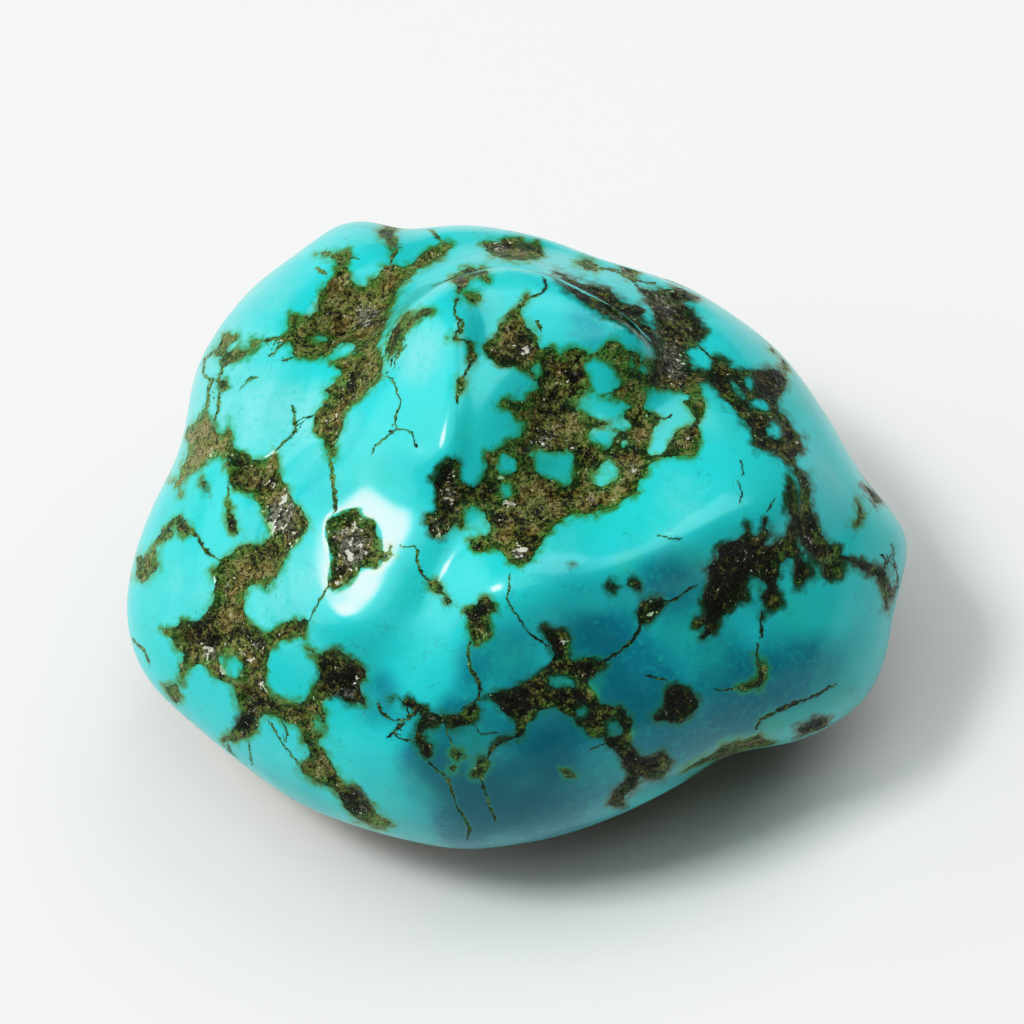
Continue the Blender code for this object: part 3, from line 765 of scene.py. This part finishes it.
SINK_EDGE = 0.35  # millimetres from the rock's edge to its full depth
sink_share = np.clip((measures["rock_edge"] - 0.04) / SINK_EDGE, 0, 1)
sink_share = sink_share * sink_share * (3 - 2 * sink_share)
for index in np.nonzero(sink_share > 0)[0]:
    spot = Vector(points[index]) / MM
    rough = 0.75 + 0.6 * noise.noise(spot * 1.1) + 0.45 * noise.noise(spot * 2.7)
    sunk = measures["rock_recess"][index] * sink_share[index] * max(rough, 0.1) * MM
    points[index] -= normals[index] * sunk
polished.vertices.foreach_set("co", points.ravel())
polished.update()


# ---------------------------------------------------------------- the turquoise's finish
# Polished, waxy blue-green stone with soft clouds of bluer and greener colour, greener still
# beside the rock, with painted shade on its lower front and painted light on its upper left. The
# rock is brown and olive grains with pale and glittering ones among them, and painted glints.
stone = bpy.data.materials.new("turquoise")
stone.use_nodes = True
stone_tree = stone.node_tree
shader = stone_tree.nodes["Principled BSDF"]


class Shade:
    """A socket of the stone's material: sums on it add Math nodes."""

    def __init__(self, socket):
        self.socket = socket

    @staticmethod
    def node(kind, settings, sockets, output=0):
        added = stone_tree.nodes.new(kind)
        for name, value in settings.items():
            setattr(added, name, value)
        for name, value in sockets.items():
            if isinstance(value, Shade):
                stone_tree.links.new(value.socket, added.inputs[name])
            else:
                added.inputs[name].default_value = value
        return Shade(added.outputs[output])

    def math(self, operation, other=0.0, swap=False):
        first, second = (other, self) if swap else (self, other)
        return Shade.node("ShaderNodeMath", {"operation": operation}, {0: first, 1: second})

    def __add__(self, other):
        return self.math("ADD", other)

    def __sub__(self, other):
        return self.math("SUBTRACT", other)

    def __rsub__(self, other):
        return self.math("SUBTRACT", other, swap=True)

    def __mul__(self, other):
        return self.math("MULTIPLY", other)

    __radd__ = __add__
    __rmul__ = __mul__

    def __abs__(self):
        return self.math("ABSOLUTE")

    def rise(self, low, high):
        # nought below low, one above high, smooth between
        return Shade.node(
            "ShaderNodeMapRange", {"interpolation_type": "SMOOTHSTEP"}, {0: self, 1: low, 2: high, 3: 0.0, 4: 1.0}
        )


def most(first, second):
    return first.math("MAXIMUM", second)


def blend(share, first, second):
    return Shade.node("ShaderNodeMix", {"data_type": "RGBA"}, {0: share, 6: first, 7: second}, output=2)


def measure(name):
    return Shade.node("ShaderNodeAttribute", {"attribute_name": name}, {}, output=2)


coordinates = Shade.node("ShaderNodeTexCoord", {}, {}, output=3)
place = Shade.node("ShaderNodeVectorMath", {"operation": "SCALE"}, {0: coordinates, 3: 1 / MM})


def clouds(scale, detail=3.0, roughness=0.55, distortion=0.0):
    return Shade.node(
        "ShaderNodeTexNoise",
        {},
        {"Vector": place, "Scale": scale, "Detail": detail, "Roughness": roughness, "Distortion": distortion},
    )


def cells(scale, feature="F1", randomness=1.0):
    return Shade.node(
        "ShaderNodeTexVoronoi",
        {"feature": feature},
        {"Vector": place, "Scale": scale, "Randomness": randomness},
    )


ragged = (clouds(1.3, 2) - 0.5) * 0.45 + (clouds(3.6, 2, 0.5) - 0.5) * 0.28
rock_edge = measure("rock_edge") + ragged
vein_half_width = measure("vein_half") * (clouds(1.6, 4, 0.7) * 3.0 - 0.9)
vein_off = abs(measure("vein_offset") + (clouds(3.5, 3) - 0.5) * 0.35)
vein_near = 1 - (measure("vein_away") - measure("vein_half")).rise(0.1, 0.17)
vein = (1 - (vein_off - vein_half_width).rise(-0.02, 0.03)) * vein_near
rock = most(rock_edge.rise(-0.02, 0.03), vein)

# The bluer turquoise serves both the stone's own bluer clouds and painted shade.
BLUE_AND_SHADE = (0.003, 0.26, 0.335, 1)
PLAIN = (0.028, 0.59, 0.60, 1)
GREENISH = (0.030, 0.53, 0.47, 1)
LIGHT_GREEN = (0.042, 0.40, 0.25, 1)
DULL_GREEN = (0.022, 0.24, 0.19, 1)
EDGE_GREEN = (0.055, 0.22, 0.065, 1)
DARK_GREEN = (0.014, 0.080, 0.030, 1)
# Painted shade: the darkest blue, for the lower front faces.
DEEP_SHADE = (0.002, 0.15, 0.20, 1)
# Paler, whiter turquoise, used for paler patches and for painted light.
PALER_AND_LIT = (0.17, 0.63, 0.62, 1)
# The stone's own bluer clouds, with painted shade added where the shade spots lie.
bluer_and_painted_shade = (measure("painted_shade_blue") * 0.9 + (clouds(0.16, 2) - 0.5) * 1.6).rise(0.0, 1.0)
greenish = (clouds(0.25, 3) - 0.42 + measure("stone_green") * 0.5).rise(0.0, 0.4)
turquoise = blend(greenish * 0.7, blend(bluer_and_painted_shade, PLAIN, BLUE_AND_SHADE), GREENISH)
# Painted shade: where the shade spots are strongest, the turquoise is made darker and bluer still.
painted_deep_shade = (measure("painted_shade_blue") - 0.7 + (clouds(0.3, 3) - 0.5) * 0.8).rise(0.0, 1.5)
turquoise = blend(painted_deep_shade * 0.8, turquoise, DEEP_SHADE)
# Painted light: the upper left made paler and whiter, with paler clouds of the stone's own everywhere.
paler_and_lit = (measure("stone_pale_and_lit") + (clouds(0.35, 4, 0.6) - 0.5) * 1.2).rise(0.0, 1.0)
turquoise = blend(paler_and_lit, turquoise, PALER_AND_LIT)
mottled = clouds(2.4, 4, 0.7).rise(0.48, 0.72) * (0.5 - painted_deep_shade * 0.5)
turquoise = blend(mottled, turquoise, GREENISH)
threads = (1 - abs(clouds(0.42, 4, 0.55) - 0.5).rise(0.0, 0.009)) * clouds(0.9, 2).rise(0.5, 0.62)
turquoise = blend(threads * 0.35, turquoise, DULL_GREEN)
fringe = rock_edge + (clouds(1.6, 2, 0.5) - 0.5) * 0.7 + measure("stone_green") * 0.12
near_vein = (1 - (vein_off - measure("vein_half")).rise(-0.08, 0.12)) * vein_near * 0.6
stained = measure("stone_green") * (clouds(0.9, 4, 0.65) + measure("stone_green") * 0.1).rise(0.42, 0.72)
greener = most(most(fringe.rise(-0.42, -0.02), near_vein), stained * 0.8)
by_tone = measure("rock_tone").rise(0.22, 0.5)
turquoise = blend(greener, turquoise, blend(by_tone, DULL_GREEN, LIGHT_GREEN))
edge_colour = blend(by_tone, DARK_GREEN, EDGE_GREEN)
turquoise = blend(fringe.rise(-0.16, 0.06), turquoise, edge_colour)
specks = clouds(6.0, 3, 0.6).rise(0.66, 0.69) * (rock_edge + (clouds(0.5, 2) - 0.5) * 3.0).rise(-1.2, -0.2)
turquoise = blend(specks * 0.8, turquoise, (0.10, 0.14, 0.04, 1))

BLACK = (0.016, 0.016, 0.009, 1)
UMBER = (0.10, 0.11, 0.030, 1)
OLIVE = (0.25, 0.33, 0.08, 1)
BROWN = (0.29, 0.23, 0.06, 1)
OCHRE = (0.46, 0.43, 0.19, 1)
GREY = (0.36, 0.37, 0.31, 1)
# Near white, for pale grains and for painted glints.
PALE = (0.95, 0.94, 0.84, 1)
MOSS = (0.75, 1.25, 0.8, 1)
grit = clouds(7.0, 3, 0.7)
lumps = clouds(2.6, 4, 0.65)
tone_here = measure("rock_tone") + (clouds(0.8, 2) - 0.5) * 1.5 + (lumps - 0.5) * 2.5 + (grit - 0.5) * 1.8 - 0.03
earth = blend(tone_here.rise(0.05, 0.36), BLACK, UMBER)
earth = blend(tone_here.rise(0.30, 0.56), earth, blend(clouds(0.9, 4, 0.6).rise(0.46, 0.56), OLIVE, BROWN))
earth = blend(tone_here.rise(0.62, 0.9), earth, OCHRE)
grey_here = measure("rock_grey") + (clouds(2.9, 4, 0.7) - 0.5) * 2.4
earth = blend(grey_here.rise(0.45, 0.9) * 0.8, earth, GREY)
grains = cells(5.5)
pale_grains = (1 - grains.rise(0.08, 0.26)) * (clouds(1.9, 2) + measure("rock_grey") * 0.25).rise(0.5, 0.6)
earth = blend(pale_grains * measure("rock_tone").rise(0.1, 0.5), earth, PALE)
# Painted glints: near-white spots where the rock's pale crystals would catch the light.
glints = (measure("rock_glint") * 0.9 + measure("rock_grey") * 0.2 + (clouds(3.6, 3, 0.5) - 0.5) * 2.2).rise(0.38, 0.5)
earth = blend(glints, earth, PALE)
pits = (clouds(5.5, 3, 0.65) + measure("rock_grey") * 0.05).rise(0.56, 0.62) * (1 - glints)
earth = blend(pits * 0.9, earth, BLACK)
rim = 1 - (rock_edge + (clouds(1.2, 3, 0.6) - 0.5) * 1.4).rise(0.02, 0.40)
mossy = Shade.node("ShaderNodeMix", {"data_type": "RGBA", "blend_type": "MULTIPLY"}, {0: rim, 6: earth, 7: MOSS}, 2)
earth = blend(rim * 0.35, mossy, edge_colour)

base_colour = blend(rock, turquoise, earth)
stone_tree.links.new(base_colour.socket, shader.inputs["Base Color"])
gloss = (0.42 + rock * ((clouds(3.0, 2) - 0.5) * 2.4 - 0.06)).math("MAXIMUM", 0.14)
stone_tree.links.new(gloss.socket, shader.inputs["Roughness"])
relief = (
    rock * ((lumps - 0.5) * 0.6 + (grit - 0.5) * 0.3 - pits * 0.06 - 0.05)
    + clouds(0.8, 2) * 0.012
)
bump = Shade.node(
    "ShaderNodeBump", {}, {"Strength": 1.0, "Distance": MM, "Height": relief}
)
stone_tree.links.new(bump.socket, shader.inputs["Normal"])
wax = 0.5 - rock * 0.4 - painted_deep_shade * 0.3
stone_tree.links.new(wax.socket, shader.inputs["Coat Weight"])
shader.inputs["Coat Roughness"].default_value = 0.16
shader.inputs["Coat IOR"].default_value = 1.6
shader.inputs["IOR"].default_value = 1.35
polished.materials.clear()
polished.materials.append(stone)


# ---------------------------------------------------------------- the table and the light
# A plain white table in a dim room. A lamp hangs to the upper left of the face, one wide window
# is behind the stone and another to its left, so the near side of the stone is in half-shade.
table_mesh = bpy.data.meshes.new("table")
table_shape = bmesh.new()
bmesh.ops.create_grid(table_shape, x_segments=1, y_segments=1, size=1.5)
table_shape.to_mesh(table_mesh)
table_shape.free()
table = bpy.data.objects.new("table", table_mesh)
table_finish = bpy.data.materials.new("white_table")
table_finish.use_nodes = True
table_finish.node_tree.nodes["Principled BSDF"].inputs["Base Color"].default_value = (0.86, 0.87, 0.87, 1)
table_finish.node_tree.nodes["Principled BSDF"].inputs["Roughness"].default_value = 0.7
table_mesh.materials.append(table_finish)
bpy.context.scene.collection.objects.link(table)


def soft_light(name, bearing, height, distance, width, length, watts):
    # bearing counts from the stone's right, anticlockwise from above; height is up from the table
    lamp = bpy.data.lights.new(name, "AREA")
    lamp.shape = "RECTANGLE"
    lamp.size = width
    lamp.size_y = length
    lamp.energy = watts
    holder = bpy.data.objects.new(name, lamp)
    level = math.cos(math.radians(height))
    outward = Vector(
        (
            level * math.cos(math.radians(bearing)),
            level * math.sin(math.radians(bearing)),
            math.sin(math.radians(height)),
        )
    )
    holder.matrix_world = Matrix.Translation(face_middle + outward * distance) @ (
        outward.to_track_quat("Z", "Y").to_matrix().to_4x4()
    )
    bpy.context.scene.collection.objects.link(holder)


soft_light("lamp", 196, 62, 1.2, 0.26, 0.26, 6.6)
soft_light("ceiling", 200, 82, 1.2, 0.9, 0.9, 4.0)
soft_light("window_behind", 50, 56, 1.2, 0.90, 0.75, 6.5)
soft_light("window_left", 175, 31, 1.2, 1.6, 1.0, 10.5)

room = bpy.data.worlds.new("room")
room.use_nodes = True
room.node_tree.nodes["Background"].inputs["Color"].default_value = (1, 1, 1, 1)
room.node_tree.nodes["Background"].inputs["Strength"].default_value = 0.12
bpy.context.scene.world = room
bpy.context.scene.view_settings.view_transform = "Standard"
bpy.context.scene.view_settings.gamma = 0.72

# The print's tones: straight in the darks, bending over gently above two thirds, so that the
# brightly lit table keeps a little tone.
WHITEST = 2.0
PRINT_TONES = [(0.3, 0.3), (0.5, 0.5), (0.8, 0.77), (1.0, 0.89), (1.3, 0.958), (2.0, 0.985)]
print_curve = bpy.context.scene.view_settings.curve_mapping
bpy.context.scene.view_settings.use_curve_mapping = True
print_curve.white_level = (WHITEST, WHITEST, WHITEST)
for light, tone in PRINT_TONES[:-1]:
    print_curve.curves[3].points.new(light / WHITEST, tone)
print_curve.curves[3].points[-1].location = (1.0, PRINT_TONES[-1][1])
print_curve.update()
